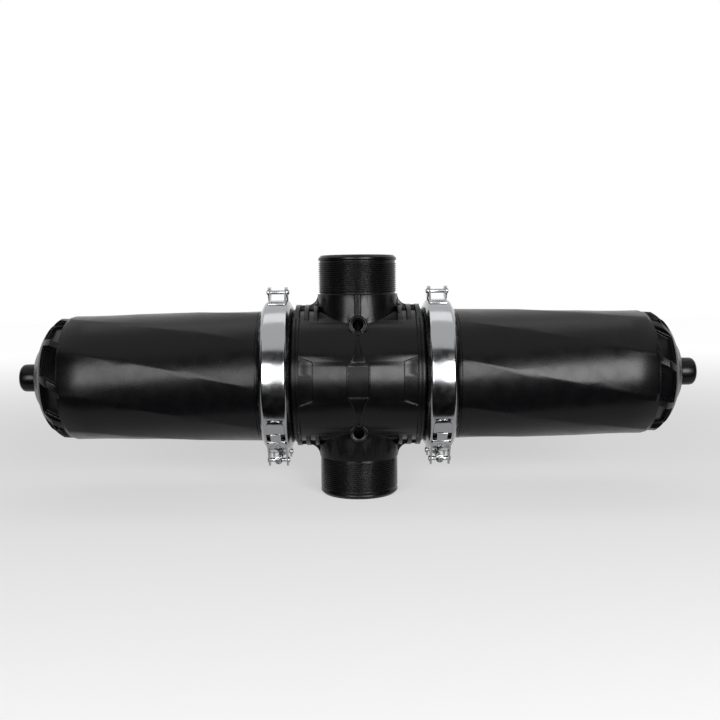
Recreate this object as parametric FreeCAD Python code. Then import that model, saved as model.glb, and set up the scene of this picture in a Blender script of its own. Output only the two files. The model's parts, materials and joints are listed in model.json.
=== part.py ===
import FreeCAD, Part
import math
import os

# Irrigation disc filter with two horizontal covers on one centre body.
# X runs along the covers, Z along the threaded ports, and the front faces -Y.
# The origin is where the cover axis crosses the port axis. Lengths are in millimetres.

# Centre body
barrel_radius = 74.5
barrel_wall = 7.0
neck_step = 2.0
flange_height = 6.0
clamp_plane = 90.0
end_ring_back = 26.2
end_ring_width = 6.6
end_ring_height = 1.4
end_groove_width = 1.4
end_groove_depth = 1.2
comb_back = 21.0
comb_pitch = 10.3
comb_width = 4.8
comb_count = 3
comb_height = 5.7
comb_circle_inset = 19.1
gusset_width = 5.0
gusset_drop = 0.7

# Ports, with a 3 inch parallel pipe thread outside
thread_radius = 43.94
thread_length = 40.0
thread_chamfer = 3.0
port_rise = 60.5
port_wall = 6.94
skirt_growth = 1.9
skirt_top_step = 0.8

# Manifold that takes clean water from both cartridges to the upper port
manifold_bore_radius = 34.0
manifold_wall = 4.0
manifold_setback = 22.3
riser_wall = 4.0

# Gauge bosses on the front, with a quarter inch pipe thread inside
gauge_drop = 15.5
gauge_boss_radius = 9.6
gauge_hole_radius = 5.72
gauge_reach = 8.3
gauge_rim_width = 1.6
gauge_rim_height = 1.6
rib_width = 6.4
rib_height = 3.2

# Front frame, its flared webs and the side pads
frame_width = 24.4
frame_height = 38.4
frame_corner = 3.5
frame_relief = 1.6
frame_rim = 1.5
frame_depth = 1.4
web_neck_width = 6.4
web_rim = 1.2
web_pinch = 2.4
web_sag = 3.0
pad_width = 15.0
pad_half_height = 26.5
pad_slant = 5.6
pad_depth = 1.4

# Clamp band: a V-shaped sheet that draws the two flanges together
band_sheet = 2.0
crown_gap = 1.5
crown_width = 25.0
crown_bend = 3.0
flank_run = 6.0
foot_gap = 1.0
band_clearance = 0.35
top_split = 3.0
bottom_split = 9.0

# Clamp hinge on top
hinge_rise = 10.5
hinge_pin_radius = 2.3
hinge_ear_radius = 5.6
hinge_ear_inner = 7.7
hinge_sheet = 1.6
hinge_foot = 16.0
hinge_strap_sheet = 1.2
hinge_strap_angle = 74.0
ear_gap = 0.3
hinge_head_radius = 2.9
hinge_head_height = 1.7

# Clamp closure below
trunnion_drop = 8.6
trunnion_offset = 25.0
trunnion_radius = 2.3
trunnion_boss_radius = 4.3
trunnion_boss_length = 10.0
trunnion_head_radius = 3.4
trunnion_head_height = 1.6
lug_inner = 9.1
lug_sheet = 1.8
lug_radius = 6.8
lug_web_angle = 53.0
lug_web_end_angle = 77.0
lug_web_corner = 3.5
strap_sheet = 1.2
strap_half_width = 10.0
strap_nose_angle = 36.0
strap_end_angle = 82.0
tongue_rise = 0.9
window_start_angle = 42.5
window_end_angle = 52.5
window_inner = 5.6
window_outer = 10.3
screw_radius = 3.0
screw_end_reach = 6.0
screw_head_flats = 10.0
screw_head_height = 4.0
washer_radius = 6.2
washer_height = 1.5
running_clearance = 0.05

# Covers
cover_step = 0.3
cover_taper = 3.3
cover_wall = 4.6
cover_room = 16.4
flute_count = 9
flute_setback = 20.5
flute_depth = 1.2
flute_turn = -36.0
flute_phase = 25.0
flute_stations = 4
right_cover_turn = 7.0
lip_length = 3.2
lip_drop = 1.8

# Domed end, as distances past the flutes and drops below their outer radius
dome_band = (14.1, 2.9)
dome_mid = (22.8, 9.7)
dome_break = (33.4, 27.7)
dome_hub = (39.8, 37.1)
dome_length = 44.6
dome_end_radius = 20.5
dome_inside = ((-2.4, 7.9), (4.6, 16.9), (26.6, 28.4), (37.1, 46.9))
pocket_start = 6.2
pocket_length = 15.5
pocket_floor_drop = 9.9
pocket_floor_fall = 4.5
pocket_turn = -7.0
pocket_lag = -5.0
pocket_rib_angle = 7.0
pocket_clear = 12.0
recess_margin = 1.8
recess_rise = 3.4

# Drain nipples and caps
nipple_radius = 11.5
nipple_bore_radius = 7.0
nipple_length = 12.5
cap_radius = 15.6
cap_gap = 0.4
cap_top = 5.2
cap_round = 5.0
drain_seal_height = 2.0

# Seals
cover_seal_section = 4.6
spine_seal_section = 2.9
spine_seal_setback = 6.0
seal_room = 0.2
seal_flats = 8

# Cartridges
spigot_gap = 0.3
spigot_length = 15.7
spine_flange_radius = 46.0
spine_flange_height = 4.0
spine_radius = 28.0
spine_wall = 4.0
spine_cap_height = 6.0
spine_slots = 6
spine_slot_width = 11.0
spine_slot_margin = 14.0
spine_short = 2.0
stud_radius = 10.0
stud_spare = 10.0
helix_height = 16.0
vane_count = 10
vane_gap = 4.5
vane_thickness = 3.0
vane_tilt = 35.0
disc_radius = 53.0
disc_bore_gap = 0.4
disc_length = 213.7
disc_groups = 6
disc_groove = 1.5
plate_height = 6.0
plate_rim = 1.5
nut_radius = 16.0
nut_height = 10.0
wing_reach = 34.0
wing_width = 6.0
part_gap = 0.3

# Values worked out from the sizes above
barrel_bore = barrel_radius - barrel_wall
neck_radius = barrel_radius - neck_step
flange_radius = barrel_radius + flange_height
end_ring_inner = clamp_plane - end_ring_back
end_ring_outer = end_ring_inner + end_ring_width
comb_top = barrel_radius + comb_height
comb_circle_radius = barrel_radius - comb_circle_inset
comb_start = clamp_plane - comb_back
port_end = barrel_radius + port_rise
port_bore_radius = thread_radius - port_wall
thread_start = port_end - thread_chamfer - thread_length
skirt_radius = thread_radius + skirt_top_step
manifold_end = clamp_plane - manifold_setback
gauge_height = barrel_radius - gauge_drop
gauge_face = skirt_radius + gauge_reach
crown_radius = flange_radius + crown_gap + band_sheet
crown_inner = crown_radius - band_sheet
band_foot_radius = neck_radius + foot_gap
flank_drop = crown_radius - band_foot_radius
flank_length = math.hypot(flank_run, flank_drop)
flank_slope = flank_run / flank_drop
flank_thickness = band_sheet * flank_length / flank_drop
flank_clearance = band_clearance * flank_length / flank_drop
hinge_height = crown_radius + hinge_rise
hinge_ear_outer = hinge_ear_inner + hinge_sheet
rear_ear_inner = hinge_ear_outer + ear_gap
rear_ear_outer = rear_ear_inner + hinge_sheet
trunnion_depth = crown_radius + trunnion_drop
lug_outer = lug_inner + lug_sheet
strap_top = crown_radius + strap_sheet
boss_inner_face = trunnion_offset - trunnion_boss_length / 2
boss_outer_face = trunnion_offset + trunnion_boss_length / 2
cover_radius = barrel_radius - cover_step
cover_end_radius = cover_radius - cover_taper
cover_bore = neck_radius - cover_wall
cover_seal_radius = (barrel_bore + flange_radius) / 2
spigot_radius = manifold_bore_radius - spigot_gap
spigot_start = manifold_end - spigot_length
spine_seal_place = spigot_start + spine_seal_setback
spine_seal_radius = manifold_bore_radius - running_clearance - spine_seal_section / 2
spine_flange_start = manifold_end + part_gap
helix_start = spine_flange_start + spine_flange_height
helix_end = helix_start + helix_height
vane_radius = barrel_bore - vane_gap
disc_start = helix_end + part_gap
disc_end = disc_start + disc_length
spine_end = disc_end - spine_short
stud_end = disc_end + plate_height + nut_height + stud_spare
flute_start = clamp_plane + flute_setback
flute_end = disc_end + cover_room
flute_length = flute_end - flute_start
dome_end = flute_end + dome_length
dome_inner_end = dome_end - cover_wall
nipple_end = dome_end + nipple_length
cap_start = dome_end + cap_gap
cap_end = nipple_end + drain_seal_height + cap_top

X_AXIS = FreeCAD.Vector(1, 0, 0)
Y_AXIS = FreeCAD.Vector(0, 1, 0)
Z_AXIS = FreeCAD.Vector(0, 0, 1)
CENTRE = FreeCAD.Vector(0, 0, 0)
FAR = 500.0
overlap = 1.0


def vec(x, y, z):
    return FreeCAD.Vector(x, y, z)


def rod(radius, start, end):
    axis = end - start
    return Part.makeCylinder(radius, axis.Length, start, axis)


def rod_x(radius, x0, x1, y=0.0, z=0.0):
    return rod(radius, vec(x0, y, z), vec(x1, y, z))


def rod_y(radius, y0, y1, x=0.0, z=0.0):
    return rod(radius, vec(x, y0, z), vec(x, y1, z))


def rod_z(radius, z0, z1):
    return rod(radius, vec(0, 0, z0), vec(0, 0, z1))


def tube_x(outer, inner, x0, x1):
    return rod_x(outer, x0, x1).cut(rod_x(inner, x0 - overlap, x1 + overlap))


def block(x0, x1, y0, y1, z0, z1):
    return Part.makeBox(x1 - x0, y1 - y0, z1 - z0, vec(x0, y0, z0))


def turned(points, z=0.0):
    """A solid turned about X, or about a line beside it, from (x, radius) points."""
    corners = [vec(x, 0, z + r) for x, r in points]
    face = Part.Face(Part.makePolygon(corners + corners[:1]))
    return face.revolve(vec(0, 0, z), X_AXIS, 360)


def softened(outline, radii, steps=2):
    """An outline whose corners with a radius are rounded by short chords of an arc."""
    result = []
    for index, (corner, radius) in enumerate(zip(outline, radii)):
        if not radius:
            result.append(corner)
            continue
        before = outline[index - 1]
        after = outline[(index + 1) % len(outline)]
        back = math.atan2(before[1] - corner[1], before[0] - corner[0])
        ahead = math.atan2(after[1] - corner[1], after[0] - corner[0])
        opening = math.remainder(ahead - back, 2 * math.pi)
        middle = back + opening / 2
        reach = radius / math.sin(abs(opening) / 2)
        centre = (corner[0] + reach * math.cos(middle), corner[1] + reach * math.sin(middle))
        sweep = math.copysign(math.pi - abs(opening), -opening)
        for step in range(steps + 1):
            angle = middle + math.pi - sweep / 2 + sweep * step / steps
            result.append((centre[0] + radius * math.cos(angle), centre[1] + radius * math.sin(angle)))
    return result


def prism_x(outline, x0, x1):
    """A plate between two X planes from (y, z) points."""
    corners = [vec(x0, y, z) for y, z in outline]
    face = Part.Face(Part.makePolygon(corners + corners[:1]))
    return face.extrude(vec(x1 - x0, 0, 0))


def prism_y(outline, y0, y1):
    """A plate between two Y planes from (x, z) points."""
    corners = [vec(x, y0, z) for x, z in outline]
    face = Part.Face(Part.makePolygon(corners + corners[:1]))
    return face.extrude(vec(0, y1 - y0, 0))


def around(radius, angle, x=0.0):
    """A point round the X axis, its angle counted in degrees from the front upwards."""
    turn = math.radians(angle)
    return vec(x, -radius * math.cos(turn), radius * math.sin(turn))


def sector_x(inner, outer, x0, x1, angle0, angle1):
    """Part of a tube about X, between two angles counted from the front upwards."""
    corners = [vec(x0, 0, inner), vec(x1, 0, inner), vec(x1, 0, outer), vec(x0, 0, outer)]
    face = Part.Face(Part.makePolygon(corners + corners[:1]))
    face.rotate(CENTRE, X_AXIS, 90 - angle1)
    return face.revolve(CENTRE, X_AXIS, angle1 - angle0)


def fused(shapes):
    return shapes[0].multiFuse(shapes[1:]).removeSplitter()


def half_turn(shape):
    """A copy turned round the port axis, for the other side of the body."""
    copy = shape.copy()
    copy.rotate(CENTRE, Z_AXIS, 180)
    return copy


def flipped_z(shape):
    return shape.mirror(CENTRE, Z_AXIS)


def flipped_x(shape):
    return shape.mirror(CENTRE, X_AXIS)


def flipped_y(shape):
    return shape.mirror(CENTRE, Y_AXIS)


def flange_face_offset(radius):
    """Distance of a flange's sloping back from the clamp plane at a radius."""
    outside = crown_width / 2 + (crown_radius - radius) * flank_slope
    return outside - flank_thickness - flank_clearance


# Centre body

def barrel():
    """Barrel, grooved end rings and clamp flanges, solid right through."""
    foot = clamp_plane - flange_face_offset(neck_radius)
    top = clamp_plane - flange_face_offset(flange_radius)
    ring_radius = barrel_radius + end_ring_height
    groove_start = end_ring_inner + (end_ring_width - end_groove_width) / 2
    groove_end = groove_start + end_groove_width
    side = [
        (end_ring_inner, barrel_radius),
        (end_ring_inner, ring_radius),
        (groove_start, ring_radius),
        (groove_start, ring_radius - end_groove_depth),
        (groove_end, ring_radius - end_groove_depth),
        (groove_end, ring_radius),
        (end_ring_outer, ring_radius),
        (end_ring_outer, neck_radius),
        (foot, neck_radius),
        (top, flange_radius),
        (clamp_plane, flange_radius),
        (clamp_plane, 0.0),
    ]
    other = [(-x, r) for x, r in reversed(side)]
    return turned(side + other)


def comb_ribs():
    """Short ribs across the four corners, each an off-centre disc that sinks into the barrel."""
    ribs = []
    height = comb_top - comb_circle_radius
    for index in range(comb_count):
        x1 = comb_start - index * comb_pitch
        disc = rod_x(comb_circle_radius, x1 - comb_width, x1, 0, height)
        ribs += [disc, flipped_x(disc)]
    return ribs + [flipped_z(rib) for rib in ribs]


def gussets():
    """Lengthwise webs that join the ribs to the port skirts, with a hollow curve up the skirt."""
    top = comb_top - gusset_drop
    curve = thread_start - top
    outer = skirt_radius + curve
    half = gusset_width / 2
    plate = block(0, comb_start, -half, half, 0, top)
    foot = block(0, outer, -half, half, top - overlap, thread_start)
    hollow = rod_y(curve, -gusset_width, gusset_width, outer, thread_start)
    side = plate.fuse(foot.cut(hollow))
    pair = [side, flipped_x(side)]
    return pair + [flipped_z(gusset) for gusset in pair]


def port():
    """One port standing on the barrel: skirt, thread land and end chamfer."""
    skirt = Part.makeCone(skirt_radius + skirt_growth, skirt_radius, thread_start)
    land = rod_z(thread_radius, 0, port_end - thread_chamfer)
    tip = Part.makeCone(thread_radius, thread_radius - thread_chamfer, thread_chamfer,
                        vec(0, 0, port_end - thread_chamfer))
    return fused([skirt, land, tip])


def gauge_boss():
    """Boss for a gauge with a raised rim, and the rib that runs from it to the thread."""
    boss = rod_y(gauge_boss_radius, -gauge_face, 0, 0, gauge_height)
    rim = rod_y(gauge_boss_radius, -gauge_face - gauge_rim_height, -gauge_face, 0, gauge_height)
    rim = rim.cut(rod_y(gauge_boss_radius - gauge_rim_width, -FAR, 0, 0, gauge_height))
    front = skirt_radius + rib_height
    rib = block(-rib_width / 2, rib_width / 2, -front, 0, gauge_height, thread_start)
    return fused([boss, rim, rib])


def skin(prism, depth):
    """The part of a prism that lies on the barrel's front, up to a height above it."""
    return prism.common(rod_x(barrel_radius + depth, -FAR, FAR))


def field(prism):
    """The part of a prism that is sunk into a raised front, down to the field's depth."""
    return prism.cut(rod_x(barrel_radius + frame_relief - frame_depth, -FAR, FAR))


def front_panel(width, height, corner):
    """A rectangle with round corners, as a prism through the front of the barrel."""
    prism = block(-width / 2, width / 2, -FAR, 0, -height / 2, height / 2)
    upright = [edge for edge in prism.Edges if abs(edge.tangentAt(edge.FirstParameter).y) > 0.9]
    return prism.makeFillet(corner, upright)


def flared_web(inset):
    """Web from the upper gauge boss to the frame, drawn in by arcs, less an inset all round."""
    top = gauge_height - gauge_boss_radius / 2
    low = frame_height / 2 - frame_rim + inset
    wide = frame_width / 2 - frame_rim - 2 * inset
    narrow = web_neck_width / 2 - inset
    pinch = (wide + narrow) / 2 - web_pinch
    sag = (top + low) / 2 - web_sag
    right = Part.Arc(vec(wide, -FAR, low), vec(pinch, -FAR, sag), vec(narrow, -FAR, top))
    left = Part.Arc(vec(-narrow, -FAR, top), vec(-pinch, -FAR, sag), vec(-wide, -FAR, low))
    over = Part.LineSegment(vec(narrow, -FAR, top), vec(-narrow, -FAR, top))
    under = Part.LineSegment(vec(-wide, -FAR, low), vec(wide, -FAR, low))
    face = Part.Face(Part.Wire([right.toShape(), over.toShape(), left.toShape(), under.toShape()]))
    return face.extrude(vec(0, FAR, 0))


def side_pad():
    """Sunk pad beside the end rings, slanted above and below, on the front and the back."""
    inner = end_ring_inner - pad_width
    high = pad_half_height
    low = pad_half_height - pad_slant
    outline = [(inner, -low), (end_ring_inner, -high), (end_ring_inner, high), (inner, low)]
    prism = prism_y(outline, -FAR, FAR)
    return prism.cut(rod_x(barrel_radius - pad_depth, -FAR, FAR))


def manifold():
    """Inner cross tube with a riser that joins it to the upper port."""
    outer = manifold_bore_radius + manifold_wall
    riser = port_bore_radius + riser_wall
    return fused([rod_x(outer, -manifold_end, manifold_end), rod_z(riser, 0, barrel_radius)])


def filter_body():
    """The moulded centre body as one solid."""
    gauge = gauge_boss()
    shell = fused([barrel(), port(), flipped_z(port())] + comb_ribs() + gussets())
    shell = shell.cut(fused([side_pad(), flipped_x(side_pad())]))
    frame = skin(front_panel(frame_width, frame_height, frame_corner), frame_relief)
    web = skin(flared_web(0.0), frame_relief)
    shell = fused([shell, gauge, flipped_z(gauge), frame, web, flipped_z(web)])
    window = field(front_panel(frame_width - 2 * frame_rim, frame_height - 2 * frame_rim,
                               frame_corner - frame_rim))
    boss = rod_y(gauge_boss_radius, -FAR, 0, 0, gauge_height)
    web_field = field(flared_web(web_rim)).cut(boss)
    room = rod_x(barrel_bore, -clamp_plane, clamp_plane).cut(manifold())
    inlet = rod_z(port_bore_radius, -port_end, -barrel_bore / 2).cut(manifold())
    outlet = rod_z(port_bore_radius, 0, port_end)
    cross = rod_x(manifold_bore_radius, -manifold_end, manifold_end)
    holes = [rod_y(gauge_hole_radius, -FAR, -port_bore_radius / 2, 0, z)
             for z in (gauge_height, -gauge_height)]
    grooves = [cover_seal_groove(), flipped_x(cover_seal_groove())]
    fields = [window, web_field, flipped_z(web_field)]
    for tool in fields + [room, inlet, outlet, cross] + holes + grooves:
        shell = shell.cut(tool)
    return shell.removeSplitter()


def cover_seal_groove():
    half = cover_seal_section / 2 + seal_room
    depth = cover_seal_section + seal_room
    return tube_x(cover_seal_radius + half, cover_seal_radius - half,
                  clamp_plane - depth, clamp_plane + overlap)


def seal_ring(section, radius, place):
    """A seal of round section, drawn with a few flats so that it stays light."""
    corners = []
    half_turn_of_flat = math.pi / seal_flats
    reach = section / 2 / math.cos(half_turn_of_flat)
    for index in range(seal_flats):
        turn = half_turn_of_flat * (2 * index + 1)
        corners.append((place + reach * math.cos(turn), radius + reach * math.sin(turn)))
    return turned(corners)


def cover_seal():
    centre = clamp_plane - cover_seal_section / 2 - seal_room / 4
    return seal_ring(cover_seal_section, cover_seal_radius, centre)


# Covers

def flute_section(x, radius, turn):
    """A nearly round section whose shallow arcs meet at the flute ridges."""
    pitch = 360.0 / flute_count
    edges = []
    for index in range(flute_count):
        start = flute_phase + turn + index * pitch
        low = around(radius, start, x)
        middle = around(radius - flute_depth, start + pitch / 2, x)
        high = around(radius, start + pitch, x)
        edges.append(Part.Arc(low, middle, high).toShape())
    return Part.Wire(edges)


def fluted_wall():
    """Twisted tapering wall from the clamp collar to the lip over the dome."""
    sections = []
    for step in range(flute_stations):
        share = step / (flute_stations - 1)
        radius = cover_radius - cover_taper * share
        sections.append(flute_section(flute_start + flute_length * share, radius, flute_turn * share))
    lip_turn = flute_turn * (1 + lip_length / flute_length)
    sections.append(flute_section(flute_end + lip_length, cover_end_radius - lip_drop, lip_turn))
    return Part.makeLoft(sections, True, True)


def on_dome(place):
    """A point of the domed end from its distance past the flutes and its drop."""
    return flute_end + place[0], cover_end_radius - place[1]


def dome():
    """Domed end with its curved outside, solid as far as the axis."""
    band, middle, end, hub = [vec(x, 0, r) for x, r in map(on_dome, (dome_band, dome_mid,
                                                                     dome_break, dome_hub))]
    start = flute_end - cover_wall
    bend = Part.Arc(band, middle, end).toShape()
    rest = Part.makePolygon([end, hub, vec(dome_end, 0, dome_end_radius), vec(dome_end, 0, 0),
                             vec(start, 0, 0), vec(start, 0, cover_end_radius - lip_drop), band])
    face = Part.Face(Part.Wire([bend] + rest.Edges))
    return face.revolve(CENTRE, X_AXIS, 360)


def twisted_block(x0, x1, floor0, floor1, angle0, angle1, turn):
    """Cutter over a dome sector whose sides turn with the swirl of the ribs."""
    def ring(x, floor, shift):
        top = floor + pocket_clear
        corners = [around(floor, angle0 + shift, x), around(floor, angle1 + shift, x),
                   around(top, angle1 + shift, x), around(top, angle0 + shift, x)]
        return Part.makePolygon(corners + corners[:1])
    return Part.makeLoft([ring(x0, floor0, 0.0), ring(x1, floor1, turn)], True, True)


def dome_pockets():
    """Stepped pockets, one to a flute, that leave swirling ribs between them."""
    pitch = 360.0 / flute_count
    rib = flute_phase + flute_turn + pocket_lag
    start = flute_end + pocket_start
    end = start + pocket_length
    floor = cover_end_radius - pocket_floor_drop
    floor_end = floor - pocket_floor_fall
    step = math.degrees(recess_margin / floor)
    wide_turn = pocket_turn * (1 + 2 * recess_margin / pocket_length)
    cutters = []
    for index in range(flute_count):
        low = rib + index * pitch + pocket_rib_angle / 2
        high = rib + (index + 1) * pitch - pocket_rib_angle / 2
        deep = twisted_block(start, end, floor, floor_end, low + step, high - step, pocket_turn)
        wide = twisted_block(start - recess_margin, end + recess_margin, floor + recess_rise,
                             floor_end + recess_rise, low, high, wide_turn)
        cutters += [deep, wide]
    return cutters


def cover():
    """The right-hand cover before it is turned into place."""
    foot = clamp_plane + flange_face_offset(neck_radius)
    top = clamp_plane + flange_face_offset(flange_radius)
    flange = turned([
        (clamp_plane, 0), (clamp_plane, flange_radius), (top, flange_radius),
        (foot, neck_radius), (flute_start, neck_radius), (flute_start, 0),
    ])
    nipple = rod_x(nipple_radius, dome_inner_end, nipple_end)
    solid = fused([flange, fluted_wall(), dome(), nipple])
    for cutter in dome_pockets():
        solid = solid.cut(cutter)
    inside = [(clamp_plane - overlap, 0), (clamp_plane - overlap, cover_bore), (flute_start, cover_bore)]
    inside += [on_dome(place) for place in dome_inside]
    inside += [(dome_inner_end, nipple_radius), (dome_inner_end, 0)]
    solid = solid.cut(turned(inside))
    return solid.cut(rod_x(nipple_bore_radius, dome_inner_end - overlap, nipple_end + overlap))


def drain_seal():
    return tube_x(nipple_radius - part_gap, nipple_bore_radius,
                  nipple_end, nipple_end + drain_seal_height)


def drain_cap():
    """Plain round cap with a softened outer edge, hollow over the nipple."""
    outline = [(cap_start, 0), (cap_start, cap_radius), (cap_end, cap_radius), (cap_end, 0)]
    body = turned(softened(outline, (0, 0, cap_round, 0), 3))
    return body.cut(rod_x(nipple_radius + running_clearance, cap_start - overlap,
                          nipple_end + drain_seal_height))


# Clamps, made round the origin and then moved to their planes

def band_ring():
    """The whole V band before it is split, with its two long bends rounded."""
    half = crown_width / 2
    foot = half + flank_run
    inside = half + (crown_radius - crown_inner) * flank_slope - flank_thickness
    foot_inside = foot - flank_thickness
    side = [(half, crown_radius), (foot, band_foot_radius), (foot_inside, band_foot_radius),
            (inside, crown_inner)]
    other = [(-x, r) for x, r in reversed(side)]
    bends = (crown_bend, 0, 0, 0, 0, 0, 0, crown_bend)
    return turned(softened(side + other, bends))


def front_half_of(ring):
    wide = crown_width
    upper = block(-wide, wide, -top_split / 2, FAR, 0, FAR)
    lower = block(-wide, wide, -bottom_split, FAR, -FAR, 0)
    return ring.cut(upper).cut(lower)


def ear(centre, radius, foot_a, foot_b, x0, x1):
    """Upright ear: a round end about a pin, spread to its foot on the band."""
    middle = ((foot_a[0] + foot_b[0]) / 2, (foot_a[1] + foot_b[1]) / 2)
    along = (centre[0] - middle[0], centre[1] - middle[1])
    length = math.hypot(along[0], along[1])
    side = (-along[1] / length * radius, along[0] / length * radius)
    left = (centre[0] + side[0], centre[1] + side[1])
    right = (centre[0] - side[0], centre[1] - side[1])
    spread = [foot_a, foot_b, left, right]
    if math.dist(foot_b, left) > math.dist(foot_b, right):
        spread = [foot_a, foot_b, right, left]
    plate = prism_x(spread, x0, x1).fuse(rod_x(radius, x0, x1, centre[0], centre[1]))
    return plate.cut(rod_x(crown_inner + band_clearance / 2, -FAR, FAR))


def hinge_ears(inner, outer):
    """The strap on top of the band with its pair of ears for the hinge pin."""
    seat = crown_radius - band_sheet / 2
    near = top_split / 2 + hinge_pin_radius
    foot_a = (-hinge_foot, math.sqrt(seat ** 2 - hinge_foot ** 2))
    foot_b = (-near, math.sqrt(seat ** 2 - near ** 2))
    one = ear((0, hinge_height), hinge_ear_radius, foot_a, foot_b, inner, outer)
    split = math.degrees(math.acos(near / seat))
    strap = sector_x(seat, crown_radius + hinge_strap_sheet, -outer, outer, hinge_strap_angle, split)
    hole = rod_x(hinge_pin_radius + running_clearance, -FAR, FAR, 0, hinge_height)
    return [strap.cut(hole), one.cut(hole), flipped_x(one).cut(hole)]


def closure_lugs():
    """Bracket round the trunnion: a web with round corners and a lug folded down at each side."""
    seat = crown_radius - band_sheet / 2
    first = around(seat, -lug_web_angle)
    end = bottom_split + trunnion_radius
    foot_b = (-end, -math.sqrt(seat ** 2 - end ** 2))
    centre = (-trunnion_offset, -trunnion_depth)
    one = ear(centre, lug_radius, (first.y, first.z), foot_b, lug_inner, lug_outer)
    hole = rod_x(trunnion_radius + running_clearance, -FAR, FAR, centre[0], centre[1])
    web = sector_x(seat, strap_top + lug_sheet, -lug_outer, lug_outer, -lug_web_end_angle, -lug_web_angle)
    upright = around(1.0, -lug_web_angle)
    corners = [edge for edge in web.Edges
               if abs(edge.tangentAt(edge.FirstParameter).dot(upright)) > 0.999]
    web = web.makeFillet(lug_web_corner, corners)
    return [web, one.cut(hole), flipped_x(one).cut(hole)]


def strap():
    """Strap welded to the band's outside, round at its upper end, with a raised tongue."""
    seat = crown_radius - band_sheet / 2
    half = strap_half_width
    plate = sector_x(seat, strap_top, -half, half, -strap_end_angle, -strap_nose_angle)
    nose = rod(half, around(seat, -strap_nose_angle), around(FAR, -strap_nose_angle))
    nose = nose.common(rod_x(strap_top, -FAR, FAR))
    tongue = sector_x(seat, strap_top + tongue_rise, -window_inner, window_inner,
                      -window_end_angle, -window_start_angle)
    return [plate, nose, tongue]


def clamp_windows():
    """Two slots through the strap and the band beside the tongue."""
    one = sector_x(crown_inner - band_sheet, strap_top + overlap,
                   window_inner, window_outer, -window_end_angle, -window_start_angle)
    return [one, flipped_x(one)]


def clamp_half(ear_from, ear_to):
    """The front half of a clamp, with its hinge ears, strap and lugs."""
    half = front_half_of(band_ring())
    half = fused([half] + hinge_ears(ear_from, ear_to) + closure_lugs() + strap())
    for window in clamp_windows():
        half = half.cut(window)
    return half


def pin_head(radius, start, height, y, z):
    """Low round head at the end of a pin."""
    outline = [(start, 0), (start, radius), (start + height, radius), (start + height, 0)]
    head = turned(softened(outline, (0, 0, height * 0.9, 0)), z)
    head.translate(vec(0, y, 0))
    return [head, flipped_x(head)]


def hinge_pin():
    """Pin with a domed head at both ends."""
    reach = rear_ear_outer + running_clearance
    shank = rod_x(hinge_pin_radius, -reach, reach, 0, hinge_height)
    return fused([shank] + pin_head(hinge_head_radius, reach, hinge_head_height, 0, hinge_height))


def trunnion():
    """Cross pin in the front lugs, with a bored boss in its middle for the screw."""
    y = -trunnion_offset
    z = -trunnion_depth
    reach = lug_outer + running_clearance
    shank = rod_x(trunnion_radius, -reach, reach, y, z)
    boss = rod_y(trunnion_boss_radius, -boss_outer_face, -boss_inner_face, 0, z)
    heads = pin_head(trunnion_head_radius, reach, trunnion_head_height, y, z)
    solid = fused([shank, boss] + heads)
    return solid.cut(rod_y(screw_radius + running_clearance, -FAR, 0, 0, z))


def screw_washer():
    z = -trunnion_depth
    ring = rod_y(washer_radius, boss_outer_face, boss_outer_face + washer_height, 0, z)
    return ring.cut(rod_y(screw_radius + running_clearance, 0, FAR, 0, z))


def clamp_screw():
    """Hexagon screw whose head bears on the rear trunnion."""
    z = -trunnion_depth
    seat = boss_outer_face + washer_height + running_clearance
    shank = rod_y(screw_radius, -boss_outer_face - screw_end_reach, seat, 0, z)
    corner = screw_head_flats / 2 / math.cos(math.radians(30))
    turns = [math.radians(60 * index) for index in range(6)]
    outline = [(corner * math.cos(turn), z + corner * math.sin(turn)) for turn in turns]
    head = prism_y(outline, seat, seat + screw_head_height)
    return fused([shank, head])


# Cartridges, for the right-hand side

def spine():
    """Spigot, flange and slotted tube in one, closed at its end under a threaded stud."""
    bore = spine_radius - spine_wall
    groove = spine_seal_section / 2 + seal_room
    floor = spine_seal_radius - spine_seal_section / 2 - seal_room / 4
    outside = turned([
        (spigot_start, 0), (spigot_start, spigot_radius),
        (spine_seal_place - groove, spigot_radius), (spine_seal_place - groove, floor),
        (spine_seal_place + groove, floor), (spine_seal_place + groove, spigot_radius),
        (spine_flange_start, spigot_radius), (spine_flange_start, spine_flange_radius),
        (helix_start, spine_flange_radius), (helix_start, spine_radius),
        (spine_end, spine_radius), (spine_end, stud_radius), (stud_end, stud_radius), (stud_end, 0),
    ])
    solid = outside.cut(rod_x(bore, spigot_start - overlap, spine_end - spine_cap_height))
    half = spine_slot_width / 2
    slot = block(disc_start + spine_slot_margin / 2, spine_end - spine_slot_margin, -half, half,
                 0, spine_radius + overlap)
    for index in range(spine_slots):
        tool = slot.copy()
        tool.rotate(CENTRE, X_AXIS, 360.0 / spine_slots * index)
        solid = solid.cut(tool)
    return solid


def spine_seal():
    return seal_ring(spine_seal_section, spine_seal_radius, spine_seal_place)


def helix_base():
    """Hub with slanting vanes that set the water turning before it meets the discs."""
    middle = helix_start + helix_height / 2
    half = helix_height / 2 / math.cos(math.radians(vane_tilt))
    root = spine_flange_radius - vane_thickness
    vane = block(middle - half, middle + half, -vane_thickness / 2, vane_thickness / 2, root, vane_radius)
    vane.rotate(vec(middle, 0, 0), Z_AXIS, vane_tilt)
    vanes = []
    for index in range(vane_count):
        copy = vane.copy()
        copy.rotate(CENTRE, X_AXIS, 360.0 / vane_count * index)
        vanes.append(copy)
    slab = tube_x(vane_radius + overlap, root - overlap, helix_start, helix_end)
    blades = [copy.common(slab) for copy in vanes]
    hub = tube_x(spine_flange_radius, spine_radius + disc_bore_gap, helix_start, helix_end)
    return fused([hub] + blades)


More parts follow.
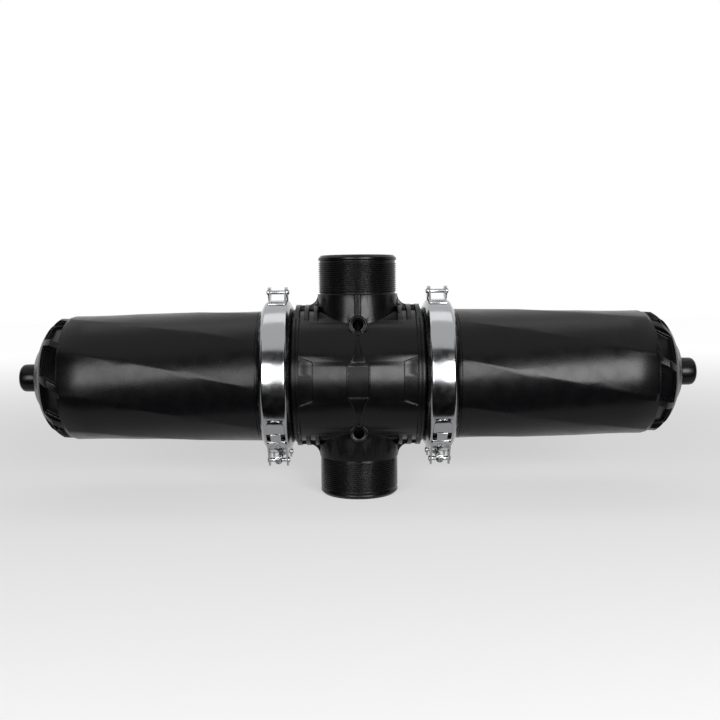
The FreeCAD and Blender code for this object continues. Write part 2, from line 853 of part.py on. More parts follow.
def disc_stack():
    """The stacked grooved discs, pressed into one ring with a few parting grooves."""
    inner = spine_radius + disc_bore_gap
    pitch = disc_length / disc_groups
    outline = [(disc_start, inner), (disc_start, disc_radius)]
    for index in range(1, disc_groups):
        x = disc_start + index * pitch
        outline += [(x - disc_groove, disc_radius), (x, disc_radius - disc_groove),
                    (x + disc_groove, disc_radius)]
    outline += [(disc_end, disc_radius), (disc_end, inner)]
    return turned(outline)


def pressure_plate():
    """Dished plate that slides on the stud and presses the discs."""
    end = disc_end + plate_height
    bore = stud_radius + running_clearance
    return turned([
        (disc_end, bore), (disc_end, disc_radius), (end - plate_rim, disc_radius),
        (end, disc_radius - plate_rim), (end, bore),
    ])


def cartridge_nut():
    """Wing nut on the stud."""
    start = disc_end + plate_height
    end = start + nut_height
    hub = rod_x(nut_radius, start, end)
    wings = block(start, end, -wing_width / 2, wing_width / 2, -wing_reach, wing_reach)
    cross = wings.copy()
    cross.rotate(CENTRE, X_AXIS, 90)
    nut = fused([hub, wings, cross])
    return nut.cut(rod_x(stud_radius + running_clearance, start - overlap, end + overlap))


# Naming and writing

def sided(name, right_shape, shapes):
    """A right-hand piece and its half-turned twin for the left-hand side."""
    shapes["right_" + name] = right_shape
    shapes["left_" + name] = half_turn(right_shape)


def clamped(name, shape, shapes):
    """A clamp piece moved to each of the two clamp planes."""
    for side, x in (("left", -clamp_plane), ("right", clamp_plane)):
        copy = shape.copy()
        copy.translate(vec(x, 0, 0))
        shapes[side + "_" + name] = copy


def all_pieces():
    shapes = {"filter_body": filter_body()}
    left_cover = cover()
    right_cover = left_cover.copy()
    right_cover.rotate(CENTRE, X_AXIS, right_cover_turn)
    shapes["left_cover"] = half_turn(left_cover)
    shapes["right_cover"] = right_cover
    sided("cover_seal", cover_seal(), shapes)
    sided("drain_seal", drain_seal(), shapes)
    sided("drain_cap", drain_cap(), shapes)
    sided("spine", spine(), shapes)
    sided("spine_seal", spine_seal(), shapes)
    sided("helix_base", helix_base(), shapes)
    sided("disc_stack", disc_stack(), shapes)
    sided("pressure_plate", pressure_plate(), shapes)
    sided("cartridge_nut", cartridge_nut(), shapes)
    clamped("clamp_front", clamp_half(hinge_ear_inner, hinge_ear_outer), shapes)
    clamped("clamp_rear", flipped_y(clamp_half(rear_ear_inner, rear_ear_outer)), shapes)
    clamped("hinge_pin", hinge_pin(), shapes)
    clamped("front_trunnion", trunnion(), shapes)
    clamped("rear_trunnion", flipped_y(trunnion()), shapes)
    clamped("clamp_screw", clamp_screw(), shapes)
    clamped("screw_washer", screw_washer(), shapes)
    return shapes


os.makedirs("parts", exist_ok=True)
for node, shape in all_pieces().items():
    solids = shape.Solids
    if len(solids) != 1 or not shape.isValid():
        print("check", node, len(solids), shape.isValid())
    piece = solids[0] if len(solids) == 1 else Part.makeCompound(solids)
    piece.exportStep("parts/" + node + ".step")
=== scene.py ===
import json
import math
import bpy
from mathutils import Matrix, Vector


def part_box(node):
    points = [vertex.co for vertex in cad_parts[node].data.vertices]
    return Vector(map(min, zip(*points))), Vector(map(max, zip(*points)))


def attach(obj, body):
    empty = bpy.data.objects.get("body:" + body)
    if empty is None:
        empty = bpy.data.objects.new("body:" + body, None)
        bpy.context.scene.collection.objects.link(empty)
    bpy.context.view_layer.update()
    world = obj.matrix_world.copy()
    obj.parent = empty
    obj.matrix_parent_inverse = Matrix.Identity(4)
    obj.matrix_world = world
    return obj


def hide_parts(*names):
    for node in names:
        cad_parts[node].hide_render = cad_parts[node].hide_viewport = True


bl_info = {
    "name": "Irrigation disc filter",
    "version": (1, 0, 0),
    "blender": (4, 5, 0),
    "location": "3D View > Sidebar > Filter",
    "description": "Dresses a two-cover disc filter with its threads, finishes and studio",
    "category": "Object",
}

import bmesh
import bpy
from mathutils import Matrix, Vector

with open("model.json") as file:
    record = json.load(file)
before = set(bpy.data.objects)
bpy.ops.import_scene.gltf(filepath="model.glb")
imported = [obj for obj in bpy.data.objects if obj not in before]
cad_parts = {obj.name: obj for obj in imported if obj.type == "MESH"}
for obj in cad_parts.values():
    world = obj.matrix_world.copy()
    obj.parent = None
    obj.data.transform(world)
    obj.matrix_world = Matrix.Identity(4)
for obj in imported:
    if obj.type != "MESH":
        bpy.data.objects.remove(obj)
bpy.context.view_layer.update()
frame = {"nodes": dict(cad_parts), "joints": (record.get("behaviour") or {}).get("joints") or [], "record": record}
MOUNTS = {mount["name"]: mount for mount in frame["record"]["mounts"]}
BODIES = frame["record"]["behaviour"]["bodies"]
JOINTS = {joint["name"]: joint for joint in frame["joints"]}
MM = 0.001
SIDES = ("left", "right")

# Corners closer than the reach are one, and faces that turn less than the angle are one flat.
WELD_REACH = 0.002 * MM
FLAT_DEGREES = 0.5
CUT_REACH = 1e-7

# Edges that turn more than the first angle are eased. Past the others they stay sharp in shading:
# the flutes of a cover meet in ridges of about 11 degrees, which stay crisp.
EASED_DEGREES = 35
SMOOTH_DEGREES = 32
BODY_SMOOTH_DEGREES = 28
FLUTE_SMOOTH_DEGREES = 8

# Half widths of a thread's ridge as shares of its pitch, and how deep its foot is sunk.
FOOT_SHARE = 0.49
CREST_SHARE = 0.06
RIDGE_SINK = 0.05 * MM
PORT_THREAD_STEPS = 72
SCREW_THREAD_STEPS = 24
# How far from its own radius a corner still belongs to a port's thread or a screw's shank.
ON_CREST = 0.05 * MM
ON_SHANK = 0.35 * MM
PLANE_MARGIN = 0.1 * MM
SCREW_PLAIN_END = 0.5 * MM
SCREW_PLAIN_LENGTH = 5 * MM


# Sizes and colours that a user would change

def linear(hex_text):
    """The linear colour of an sRGB hex value."""
    channels = [int(hex_text[i:i + 2], 16) / 255 for i in (0, 2, 4)]
    return tuple(c / 12.92 if c <= 0.04045 else ((c + 0.055) / 1.055) ** 2.4 for c in channels)


def length_size(name, description, default_mm):
    return bpy.props.FloatProperty(name=name, description=description, default=default_mm * MM,
                                   min=0.0, precision=5, unit="LENGTH")


def finish_colour(name, description, hex_text):
    return bpy.props.FloatVectorProperty(name=name, description=description, subtype="COLOR",
                                         size=3, min=0.0, max=1.0, default=linear(hex_text))


class FilterSizes(bpy.types.PropertyGroup):
    """Sizes of the fine forms that are laid over the solids."""
    thread_pitch: length_size("Port thread pitch", "Eleven turns to the inch", 2.309)
    thread_depth: length_size("Port thread depth", "From crest to root", 1.479)
    thread_land: length_size("Port thread land", "Plain ring left at the open end of a port", 5.3)
    moulded_edge: length_size("Moulded edge", "Radius on the edges of moulded plastic", 0.5)
    sheet_edge: length_size("Sheet edge", "Radius on the edges of the steel sheet", 0.35)
    fastener_edge: length_size("Fastener edge", "Radius on the edges of pins and screws", 0.3)
    screw_radius: length_size("Clamp screw radius", "Over the thread", 3.0)
    screw_pitch: length_size("Clamp screw pitch", "Pitch of the clamp screw's thread", 1.0)
    screw_depth: length_size("Clamp screw thread depth", "From crest to root", 0.6)


class FilterColours(bpy.types.PropertyGroup):
    """Base colours of the finishes."""
    polyamide: finish_colour("Black polyamide", "Housing, covers and caps", "050506")
    rubber: finish_colour("Seal rubber", "Seals and gaskets", "141414")
    polypropylene: finish_colour("Grey polypropylene", "Spines and plates", "8A8D90")
    disc_plastic: finish_colour("Disc plastic", "Stacked discs", "B03022")
    sheet_steel: finish_colour("Polished stainless sheet", "Clamp bands", "A0A1A3")
    turned_steel: finish_colour("Turned stainless", "Pins, trunnions and screws", "A6A7A8")


# Materials

def add_node(tree, kind, settings=(), links=()):
    """Adds one node, sets its values by name, and links (input, source socket) pairs."""
    node = tree.nodes.new(kind)
    for key, value in dict(settings).items():
        if key in node.inputs:
            node.inputs[key].default_value = value
        else:
            setattr(node, key, value)
    for socket, source in dict(links).items():
        tree.links.new(source, node.inputs[socket])
    return node


def new_material(name):
    """A material whose tree holds only its output and a principled shader."""
    material = bpy.data.materials.new(name)
    material.use_nodes = True
    tree = material.node_tree
    tree.nodes.clear()
    output = add_node(tree, "ShaderNodeOutputMaterial")
    shader = add_node(tree, "ShaderNodeBsdfPrincipled")
    tree.links.new(shader.outputs["BSDF"], output.inputs["Surface"])
    return material, tree, shader


def colour4(colour, gain=1.0):
    return (colour[0] * gain, colour[1] * gain, colour[2] * gain, 1.0)


def mottled(tree, scale, low, high):
    """A noise over object coordinates whose value runs between two levels."""
    place = add_node(tree, "ShaderNodeTexCoord")
    noise = add_node(tree, "ShaderNodeTexNoise", {"Scale": scale, "Detail": 3.0},
                     {"Vector": place.outputs["Object"]})
    ramp = add_node(tree, "ShaderNodeMapRange", {"From Min": 0.3, "From Max": 0.7,
                                                 "To Min": low, "To Max": high},
                    {"Value": noise.outputs["Fac"]})
    return place, noise, ramp


def two_tone(tree, shader, mask, colour, low, high):
    """A base colour that runs between two gains of one colour as the mask does."""
    shade = add_node(tree, "ShaderNodeMix", {"data_type": "RGBA"}, {"Factor": mask})
    shade.inputs["A"].default_value = colour4(colour, low)
    shade.inputs["B"].default_value = colour4(colour, high)
    tree.links.new(shade.outputs["Result"], shader.inputs["Base Color"])


def bumped(tree, shader, height, depth, strength, edge=0.0):
    """A bump, and where an edge radius is given, edges that catch the light as rounded ones do."""
    bump = add_node(tree, "ShaderNodeBump", {"Strength": strength, "Distance": depth},
                    {"Height": height})
    if edge:
        rounding = add_node(tree, "ShaderNodeBevel", {"samples": 8, "Radius": edge})
        tree.links.new(rounding.outputs["Normal"], bump.inputs["Normal"])
    tree.links.new(bump.outputs["Normal"], shader.inputs["Normal"])


def black_polyamide(colours):
    """Glass-filled polyamide, injection moulded: near black, satin, with a fine leathery grain
    and slightly uneven gloss where the fibres lie near the skin."""
    material, tree, shader = new_material("black_polyamide_moulded")
    place, cloud, gloss = mottled(tree, 1 / (14 * MM), 0.24, 0.31)
    tree.links.new(gloss.outputs["Result"], shader.inputs["Roughness"])
    two_tone(tree, shader, cloud.outputs["Fac"], colours.polyamide, 0.9, 1.15)
    shader.inputs["IOR"].default_value = 1.53
    # The glass fibre and soot at the skin scatter most of the gloss.
    shader.inputs["Specular IOR Level"].default_value = 0.15
    # The real grain is about 0.1 mm and is drawn at 0.6 mm so that it shows.
    grain = add_node(tree, "ShaderNodeTexNoise", {"Scale": 1 / (0.6 * MM), "Detail": 2.0},
                     {"Vector": place.outputs["Object"]})
    bumped(tree, shader, grain.outputs["Fac"], 0.02 * MM, 0.12, 1.3 * MM)
    return material


def seal_rubber(colours):
    """Nitrile rubber, moulded: dull black with a faint bloom."""
    material, tree, shader = new_material("nitrile_rubber_moulded")
    _, cloud, gloss = mottled(tree, 1 / (6 * MM), 0.55, 0.72)
    tree.links.new(gloss.outputs["Result"], shader.inputs["Roughness"])
    shader.inputs["Base Color"].default_value = colour4(colours.rubber)
    bumped(tree, shader, cloud.outputs["Fac"], 0.02 * MM, 0.4)
    return material


def grey_polypropylene(colours):
    """Filled polypropylene, moulded: even grey with a soft sheen."""
    material, tree, shader = new_material("grey_polypropylene_moulded")
    _, cloud, gloss = mottled(tree, 1 / (10 * MM), 0.38, 0.5)
    tree.links.new(gloss.outputs["Result"], shader.inputs["Roughness"])
    two_tone(tree, shader, cloud.outputs["Fac"], colours.polypropylene, 0.92, 1.05)
    return material


def red_disc_plastic(colours):
    """Thin grooved discs pressed together: bands along the stack, one to each disc."""
    material, tree, shader = new_material("red_disc_plastic_moulded")
    place = add_node(tree, "ShaderNodeTexCoord")
    # Each disc is 1.2 mm thick and takes one light or one dark band. The texture repeats every
    # pi / 10 at a scale of 1.
    disc_thickness = 1.2 * MM
    bands = add_node(tree, "ShaderNodeTexWave",
                     {"bands_direction": "X", "Scale": 1 / disc_thickness / 20 * math.pi},
                     {"Vector": place.outputs["Object"]})
    two_tone(tree, shader, bands.outputs["Fac"], colours.disc_plastic, 0.55, 1.0)
    shader.inputs["Roughness"].default_value = 0.42
    bumped(tree, shader, bands.outputs["Fac"], 0.2 * MM, 0.6)
    return material


def polished_stainless(colours):
    """Stainless sheet, rolled and polished: mirror-like with a light haze and hairline scratches
    that run round the band."""
    material, tree, shader = new_material("stainless_sheet_polished")
    place, _, gloss = mottled(tree, 1 / (9 * MM), 0.11, 0.17)
    shader.inputs["Metallic"].default_value = 1.0
    stretch = add_node(tree, "ShaderNodeMapping", {"Scale": (1.0, 0.06, 0.06)},
                       {"Vector": place.outputs["Object"]})
    hair = add_node(tree, "ShaderNodeTexNoise", {"Scale": 1 / (0.5 * MM), "Detail": 4.0},
                    {"Vector": stretch.outputs["Vector"]})
    sum_gloss = add_node(tree, "ShaderNodeMath", {"operation": "MULTIPLY_ADD"},
                         {0: hair.outputs["Fac"], 2: gloss.outputs["Result"]})
    sum_gloss.inputs[1].default_value = 0.05
    tree.links.new(sum_gloss.outputs["Value"], shader.inputs["Roughness"])
    two_tone(tree, shader, hair.outputs["Fac"], colours.sheet_steel, 0.92, 1.0)
    bumped(tree, shader, hair.outputs["Fac"], 0.01 * MM, 0.35, 0.6 * MM)
    return material


def turned_stainless(colours):
    """Stainless bar, turned: bright with fine turning marks."""
    material, tree, shader = new_material("stainless_bar_turned")
    _, cloud, gloss = mottled(tree, 1 / (2.5 * MM), 0.16, 0.26)
    shader.inputs["Metallic"].default_value = 1.0
    tree.links.new(gloss.outputs["Result"], shader.inputs["Roughness"])
    two_tone(tree, shader, cloud.outputs["Fac"], colours.turned_steel, 0.85, 1.0)
    bumped(tree, shader, cloud.outputs["Fac"], 0.02 * MM, 0.3)
    return material


FINISHES = {
    "black_polyamide": black_polyamide,
    "seal_rubber": seal_rubber,
    "grey_polypropylene": grey_polypropylene,
    "red_disc_plastic": red_disc_plastic,
    "polished_stainless": polished_stainless,
    "stainless_fastener": turned_stainless,
}
made = {}


def finish_of(context, slot):
    """The material for one of the record's slots, made once."""
    if slot not in made:
        made[slot] = FINISHES[slot](context.scene.filter_colours)
    return made[slot]


# Shared mesh work

def body_of_node(node):
    return next(body for body, members in BODIES.items() if node in members)


def slot_of_node(node):
    return next(part["material_slot"] for part in frame["record"]["subparts"] if part["node"] == node)


def welded_copy(node):
    """A mesh copy of a CAD node whose triangles share their corners and whose flats are whole."""
    work = bmesh.new()
    work.from_mesh(frame["nodes"][node].data)
    bmesh.ops.remove_doubles(work, verts=work.verts, dist=WELD_REACH)
    bmesh.ops.dissolve_limit(work, angle_limit=math.radians(FLAT_DEGREES), verts=work.verts,
                             edges=work.edges, delimit=set())
    return work


def sharp_edges(work, degrees):
    limit = math.radians(degrees)
    return [edge for edge in work.edges if edge.is_manifold and edge.calc_face_angle(0.0) > limit]


def ease(work, edges, radius, segments=2):
    """Rounds edges with a narrow bevel."""
    bmesh.ops.bevel(work, geom=edges, offset=radius, offset_type="OFFSET", segments=segments,
                    profile=0.5, affect="EDGES", clamp_overlap=True, material=-1)


def finished_piece(context, name, work, body, slot, smooth_degrees):
    """Turns a bmesh into a piece that rides on a body, with its finish and smooth shading."""
    mesh = bpy.data.meshes.new(name)
    for face in work.faces:
        face.smooth = True
    work.to_mesh(mesh)
    work.free()
    mesh.set_sharp_from_angle(angle=math.radians(smooth_degrees))
    piece = bpy.data.objects.new(name, mesh)
    context.scene.collection.objects.link(piece)
    mesh.materials.append(finish_of(context, slot))
    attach(piece, body)
    return piece


def dressed(context, node, radius, smooth_degrees=SMOOTH_DEGREES):
    """A CAD node's form with its sharp edges eased, standing in for the node."""
    work = welded_copy(node)
    ease(work, sharp_edges(work, EASED_DEGREES), radius)
    stand_in(context, node, work, smooth_degrees)


def stand_in(context, node, work, smooth_degrees=SMOOTH_DEGREES):
    """A finished piece that shows in place of a CAD node."""
    piece = finished_piece(context, node + "_dressed", work, body_of_node(node), slot_of_node(node),
                           smooth_degrees)
    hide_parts(node)


def keep_node(context, node):
    """Gives a CAD node that stays as it is the finish of its slot."""
    target = frame["nodes"][node]
    target.data.materials.clear()
    target.data.materials.append(finish_of(context, slot_of_node(node)))


def joined(work, other):
    """Adds another bmesh's faces to this one."""
    mesh = bpy.data.meshes.new("joined")
    other.to_mesh(mesh)
    other.free()
    work.from_mesh(mesh)
    bpy.data.meshes.remove(mesh)


def thread_turns(crest, root, pitch, length, steps):
    """A right-hand ridge round Z over a length from height 0, spun from its profile, with ends
    that fade into the core."""
    work = bmesh.new()
    half_foot = pitch * FOOT_SHARE
    half_crest = pitch * CREST_SHARE
    foot = root - RIDGE_SINK
    corners = [(foot, -half_foot), (crest, -half_crest), (crest, half_crest), (foot, half_foot)]
    verts = [work.verts.new((radius, 0.0, half_foot + height)) for radius, height in corners]
    edges = [work.edges.new((verts[i], verts[i + 1])) for i in range(3)]
    turns = length / pitch - 1
    bmesh.ops.spin(work, geom=verts + edges, cent=(0, 0, 0), axis=(0, 0, 1), dvec=(0, 0, pitch / steps),
                   angle=math.tau * turns, steps=int(turns * steps), use_merge=False,
                   use_normal_flip=False, use_duplicate=False)
    fade = pitch / 2
    for vert in work.verts:
        reach = Vector((vert.co.x, vert.co.y)).length
        share = min(1.0, max(0.0, vert.co.z - half_foot) / fade,
                    max(0.0, length - half_foot - vert.co.z) / fade)
        factor = (foot + (reach - foot) * share) / reach
        vert.co.x *= factor
        vert.co.y *= factor
    bmesh.ops.recalc_face_normals(work, faces=work.faces)
    return work


class FILTER_OT_centre_body(bpy.types.Operator):
    """Moulded centre body with its eased edges and the threads of both ports"""
    bl_idname = "filter.centre_body"
    bl_label = "Centre body"

    def execute(self, context):
        sizes = context.scene.filter_sizes
        work = welded_copy("filter_body")
        land_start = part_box("filter_body")[1].z - sizes.thread_land
        threads = []
        for name in ("outlet_thread", "inlet_thread"):
            mount = MOUNTS[name]
            crest = mount["dims"]["r_mm"] * MM
            root = crest - sizes.thread_depth
            side = math.copysign(1.0, mount["pos_m"][2])
            thread_start = abs(mount["pos_m"][2]) - mount["dims"]["length_mm"] * MM / 2
            for height in (land_start, land_start - sizes.thread_depth / 2):
                bmesh.ops.bisect_plane(work, geom=work.verts[:] + work.edges[:] + work.faces[:],
                                       dist=CUT_REACH, plane_co=(0, 0, side * height), plane_no=(0, 0, 1))
            for vert in work.verts:
                reach = math.hypot(vert.co.x, vert.co.y)
                level = side * vert.co.z
                threaded = thread_start - PLANE_MARGIN < level < land_start - PLANE_MARGIN
                if threaded and abs(reach - crest) < ON_CREST:
                    vert.co.x *= root / reach
                    vert.co.y *= root / reach
            length = land_start - sizes.thread_depth / 2 - thread_start
            ridge = thread_turns(crest, root, sizes.thread_pitch, length, PORT_THREAD_STEPS)
            bmesh.ops.translate(ridge, verts=ridge.verts, vec=(0, 0, thread_start))
            if side < 0:
                bmesh.ops.rotate(ridge, verts=ridge.verts, cent=(0, 0, 0),
                                 matrix=Matrix.Rotation(math.pi, 3, "X"))
            threads.append(ridge)
        ease(work, sharp_edges(work, EASED_DEGREES), sizes.moulded_edge)
        for ridge in threads:
            joined(work, ridge)
        stand_in(context, "filter_body", work, BODY_SMOOTH_DEGREES)
        return {"FINISHED"}


class FILTER_OT_covers(bpy.types.Operator):
    """Fluted covers and their drain caps"""
    bl_idname = "filter.covers"
    bl_label = "Covers and caps"

    def execute(self, context):
        sizes = context.scene.filter_sizes
        for side in SIDES:
            dressed(context, side + "_cover", sizes.moulded_edge, FLUTE_SMOOTH_DEGREES)
            dressed(context, side + "_drain_cap", sizes.moulded_edge)
        return {"FINISHED"}


class FILTER_OT_clamps(bpy.types.Operator):
    """Polished clamp halves with rounded sheet edges"""
    bl_idname = "filter.clamps"
    bl_label = "Clamps"

    def execute(self, context):
        sizes = context.scene.filter_sizes
        for side in SIDES:
            for half in ("_clamp_front", "_clamp_rear"):
                dressed(context, side + half, sizes.sheet_edge)
        return {"FINISHED"}


class FILTER_OT_fasteners(bpy.types.Operator):
    """Pins, trunnions, threaded screws and washers of the clamps"""
    bl_idname = "filter.fasteners"
    bl_label = "Clamp fasteners"

    def execute(self, context):
        sizes = context.scene.filter_sizes
        for side in SIDES:
            for name in ("_hinge_pin", "_front_trunnion", "_rear_trunnion", "_screw_washer"):
                dressed(context, side + name, sizes.fastener_edge)
            self.threaded_screw(context, side, sizes)
        return {"FINISHED"}

    def threaded_screw(self, context, side, sizes):
        """The clamp screw with its shank cut down to the thread's core and the ridge laid on."""
        node = side + "_clamp_screw"
        work = welded_copy(node)
        axis = Vector(JOINTS[side + "_screw_turn"]["pos_m"])
        low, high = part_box(node)
        crest = sizes.screw_radius
        root = crest - sizes.screw_depth
        ease(work, sharp_edges(work, EASED_DEGREES), sizes.fastener_edge)
        for vert in work.verts:
            off = Vector((vert.co.x - axis.x, vert.co.z - axis.z))
            if abs(off.length - crest) < ON_SHANK:
                off *= root / off.length
                vert.co.x = axis.x + off.x
                vert.co.z = axis.z + off.y
        length = high.y - low.y - SCREW_PLAIN_LENGTH
        ridge = thread_turns(crest, root, sizes.screw_pitch, length, SCREW_THREAD_STEPS)
        bmesh.ops.rotate(ridge, verts=ridge.verts, cent=(0, 0, 0),
                         matrix=Matrix.Rotation(math.radians(-90.0), 3, "X"))
        bmesh.ops.translate(ridge, verts=ridge.verts, vec=(axis.x, low.y + SCREW_PLAIN_END, axis.z))
        joined(work, ridge)
        stand_in(context, node, work)


class FILTER_OT_cartridges(bpy.types.Operator):
    """Inner pieces: seals, spines, vaned rings, discs, plates and nuts"""
    bl_idname = "filter.cartridges"
    bl_label = "Cartridges and seals"

    def execute(self, context):
        for side in SIDES:
            for name in ("_cover_seal", "_drain_seal", "_spine_seal", "_spine", "_helix_base",
                         "_disc_stack", "_pressure_plate", "_cartridge_nut"):
                keep_node(context, side + name)
        return {"FINISHED"}


# Stage

FOCAL_PX = 867.4
IMAGE_PX = 720
CAMERA_PLACE = (-1.19 * MM, -985.4 * MM, 104.8 * MM)
CAMERA_PITCH = -5.114
CAMERA_YAW = -0.19
CAMERA_ROLL = 0.583
SENSOR_WIDTH = 36.0

# The floor is a square whose near edge lies behind the camera. Its painted glow rises from the lift at
# the first distance from the object to nearly white at the second.
WORLD_LIGHT = 0.15
FLOOR_HALF = 3.0
FLOOR_SHIFT = 1.5
FLOOR_TONE = 0.35
FLOOR_LIFT = 0.48
FLOOR_WHITE = 0.93
FLOOR_FADE = (0.2, 2.4)
# Each with its place, the point it faces, its width and height in metres, and its power in watts.
SOFT_BOXES = (
    ("front_left_soft_box", (-0.66, -1.5, 0.24), (-0.15, 0.0, 0.0), 0.72, 0.72, 20.0),
    ("front_middle_soft_box", (0.0, -1.55, 0.24), (0.0, 0.0, 0.0), 0.55, 0.72, 3.5),
    ("front_right_soft_box", (0.66, -1.5, 0.24), (0.15, 0.0, 0.0), 0.72, 0.72, 32.0),
    ("top_soft_box", (0.0, 0.3, 1.3), (0.0, 0.0, 0.0), 1.6, 0.5, 2.5),
)
# Colour of the sheets that paint dark reflections.
DARK_REFLECTION_TONE = 0.004
# Painted dark reflections for the dark side of the studio: dark sheets behind and beside the camera and low in
# front
# of the object, seen in reflections alone: place, the point it faces, width and height.
DARK_REFLECTION_SHEETS = (
    ("front_dark_reflection_sheet", (0.0, -2.2, 0.98), (0.0, 0.0, 0.98), 5.0, 2.26),
    ("left_dark_reflection_sheet", (-2.4, -1.2, 0.98), (0.0, 0.0, 0.98), 3.0, 2.26),
    ("right_dark_reflection_sheet", (2.4, -1.2, 0.98), (0.0, 0.0, 0.98), 3.0, 2.26),
    ("low_dark_reflection_sheet", (0.0, -1.17, -0.13), (0.0, -1.17, 1.0), 5.0, 2.1),
)


def soft_box(context, name, place, aim, width, height, power):
    """A rectangular studio lamp that faces a point."""
    lamp = bpy.data.lights.new(name, "AREA")
    lamp.shape = "RECTANGLE"
    lamp.size = width
    lamp.size_y = height
    lamp.energy = power
    holder = bpy.data.objects.new(name, lamp)
    holder.location = place
    holder.rotation_euler = (Vector(aim) - Vector(place)).to_track_quat("-Z", "Y").to_euler()
    context.scene.collection.objects.link(holder)


def seen_directly(tree):
    """1 for rays from the camera, from gloss and through glass, and 0 for those that light."""
    path = add_node(tree, "ShaderNodeLightPath")
    camera_or_gloss = add_node(tree, "ShaderNodeMath", {"operation": "MAXIMUM"},
                               {0: path.outputs["Is Camera Ray"], 1: path.outputs["Is Glossy Ray"]})
    seen = add_node(tree, "ShaderNodeMath", {"operation": "MAXIMUM"},
                    {0: camera_or_gloss.outputs["Value"], 1: path.outputs["Is Transmission Ray"]})
    return seen.outputs["Value"]


def floor_paper():
    """White background paper: matt, keeping the object's shadow, with a painted glow that is weakest round the
    object and rises to nearly white further out.
    """
    material, tree, shader = new_material("background_paper_painted_glow")
    shader.inputs["Base Color"].default_value = (FLOOR_TONE,) * 3 + (1.0,)
    shader.inputs["Roughness"].default_value = 0.9
    shader.inputs["Specular IOR Level"].default_value = 0.0
    shader.inputs["Emission Color"].default_value = (1.0, 1.0, 1.0, 1.0)
    place = add_node(tree, "ShaderNodeTexCoord")
    reach = add_node(tree, "ShaderNodeVectorMath", {"operation": "LENGTH"}, {0: place.outputs["Object"]})
    fade = add_node(tree, "ShaderNodeMapRange",
                    {"interpolation_type": "SMOOTHSTEP", "From Min": FLOOR_FADE[0],
                     "From Max": FLOOR_FADE[1], "To Min": FLOOR_LIFT, "To Max": FLOOR_WHITE},
                    {"Value": reach.outputs["Value"]})
    painted_glow = add_node(tree, "ShaderNodeMath", {"operation": "MULTIPLY"},
                    {0: seen_directly(tree), 1: fade.outputs["Result"]})
    # Painted glow on the floor, weakest round the object.
    tree.links.new(painted_glow.outputs["Value"], shader.inputs["Emission Strength"])
    return material


def dark_reflection_sheet(context, name, place, aim, width, height):
    """A dark sheet that paints dark reflections: gloss and metal reflect it, while the camera, diffuse light and
    shadows pass it by.
    """
    work = bmesh.new()
    bmesh.ops.create_grid(work, x_segments=1, y_segments=1, size=0.5)
    bmesh.ops.scale(work, verts=work.verts, vec=(width, height, 1.0))
    turn = (Vector(aim) - Vector(place)).to_track_quat("-Z", "Y").to_matrix().to_4x4()
    bmesh.ops.transform(work, verts=work.verts, matrix=Matrix.Translation(place) @ turn)
    mesh = bpy.data.meshes.new(name)
    work.to_mesh(mesh)
    work.free()
    dark_sheet = bpy.data.objects.new(name, mesh)
    material, _, shader = new_material(name + "_painted_dark_reflection")
    # Painted dark reflection: near black, matt, with no gloss of its own.
    shader.inputs["Base Color"].default_value = (DARK_REFLECTION_TONE,) * 3 + (1.0,)
    shader.inputs["Roughness"].default_value = 1.0
    shader.inputs["Specular IOR Level"].default_value = 0.0
    mesh.materials.append(material)
    context.scene.collection.objects.link(dark_sheet)
    # Unseen by the camera, lighting nothing and casting no shadow, the sheet only paints dark reflections.
    dark_sheet.visible_camera = False
    dark_sheet.visible_diffuse = False
    dark_sheet.visible_shadow = False


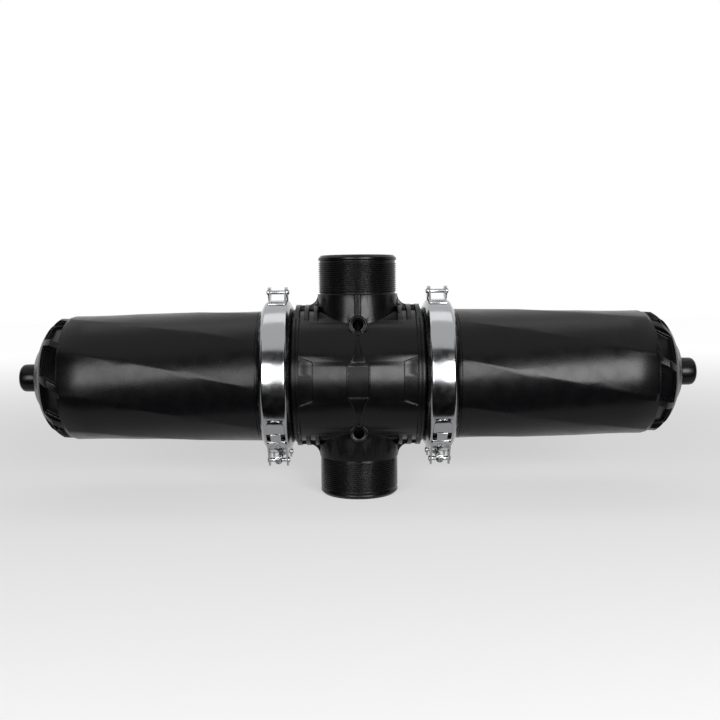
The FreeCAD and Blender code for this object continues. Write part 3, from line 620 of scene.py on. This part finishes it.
class FILTER_OT_studio(bpy.types.Operator):
    """Pale floor, backdrop, soft lamps and the camera"""
    bl_idname = "filter.studio"
    bl_label = "Studio"

    def execute(self, context):
        scene = context.scene
        floor_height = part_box("filter_body")[0].z
        work = bmesh.new()
        bmesh.ops.create_grid(work, x_segments=1, y_segments=1, size=FLOOR_HALF)
        bmesh.ops.translate(work, verts=work.verts, vec=(0, FLOOR_SHIFT, floor_height))
        mesh = bpy.data.meshes.new("floor")
        work.to_mesh(mesh)
        work.free()
        floor = bpy.data.objects.new("floor", mesh)
        mesh.materials.append(floor_paper())
        scene.collection.objects.link(floor)
        world = bpy.data.worlds.new("studio")
        world.use_nodes = True
        tree = world.node_tree
        tree.nodes.clear()
        output = add_node(tree, "ShaderNodeOutputWorld")
        dim = add_node(tree, "ShaderNodeBackground", {"Color": (1, 1, 1, 1), "Strength": WORLD_LIGHT})
        bright = add_node(tree, "ShaderNodeBackground", {"Color": (1, 1, 1, 1), "Strength": 1.0})
        mix = add_node(tree, "ShaderNodeMixShader", {}, {0: seen_directly(tree),
                                                         1: dim.outputs["Background"],
                                                         2: bright.outputs["Background"]})
        tree.links.new(mix.outputs["Shader"], output.inputs["Surface"])
        scene.world = world
        for name, place, aim, width, height, power in SOFT_BOXES:
            soft_box(context, name, place, aim, width, height, power)
        # Sheets that paint dark reflections in gloss and metal.
        for name, place, aim, width, height in DARK_REFLECTION_SHEETS:
            dark_reflection_sheet(context, name, place, aim, width, height)
        camera = bpy.data.cameras.new("camera")
        camera.sensor_width = SENSOR_WIDTH
        camera.lens = FOCAL_PX / IMAGE_PX * camera.sensor_width
        camera.dof.use_dof = False
        view = bpy.data.objects.new("camera", camera)
        turn = (Matrix.Rotation(math.radians(CAMERA_YAW), 4, "Z")
                @ Matrix.Rotation(math.radians(CAMERA_PITCH), 4, "X")
                @ Matrix.Rotation(math.radians(CAMERA_ROLL), 4, "Y")
                @ Matrix.Rotation(math.radians(90.0), 4, "X"))
        view.matrix_world = Matrix.Translation(CAMERA_PLACE) @ turn
        scene.collection.objects.link(view)
        scene.camera = view
        scene.view_settings.view_transform = "Standard"
        return {"FINISHED"}


OPERATORS = (FILTER_OT_centre_body, FILTER_OT_covers, FILTER_OT_clamps, FILTER_OT_fasteners,
             FILTER_OT_cartridges, FILTER_OT_studio)


class FILTER_PT_panel(bpy.types.Panel):
    """Sidebar panel that lists the filter's operators"""
    bl_idname = "FILTER_PT_panel"
    bl_label = "Disc filter"
    bl_space_type = "VIEW_3D"
    bl_region_type = "UI"
    bl_category = "Filter"

    def draw(self, context):
        for operator in OPERATORS:
            self.layout.operator(operator.bl_idname)
        for group in (context.scene.filter_sizes, context.scene.filter_colours):
            for name in group.__annotations__:
                self.layout.prop(group, name)


CLASSES = (FilterSizes, FilterColours) + OPERATORS + (FILTER_PT_panel,)


def register():
    for each in CLASSES:
        bpy.utils.register_class(each)
    bpy.types.Scene.filter_sizes = bpy.props.PointerProperty(type=FilterSizes)
    bpy.types.Scene.filter_colours = bpy.props.PointerProperty(type=FilterColours)


def unregister():
    del bpy.types.Scene.filter_colours
    del bpy.types.Scene.filter_sizes
    for each in reversed(CLASSES):
        bpy.utils.unregister_class(each)


def main():
    register()
    bpy.ops.filter.centre_body()
    bpy.ops.filter.covers()
    bpy.ops.filter.clamps()
    bpy.ops.filter.fasteners()
    bpy.ops.filter.cartridges()
    bpy.ops.filter.studio()


if __name__ == "__main__":
    main()
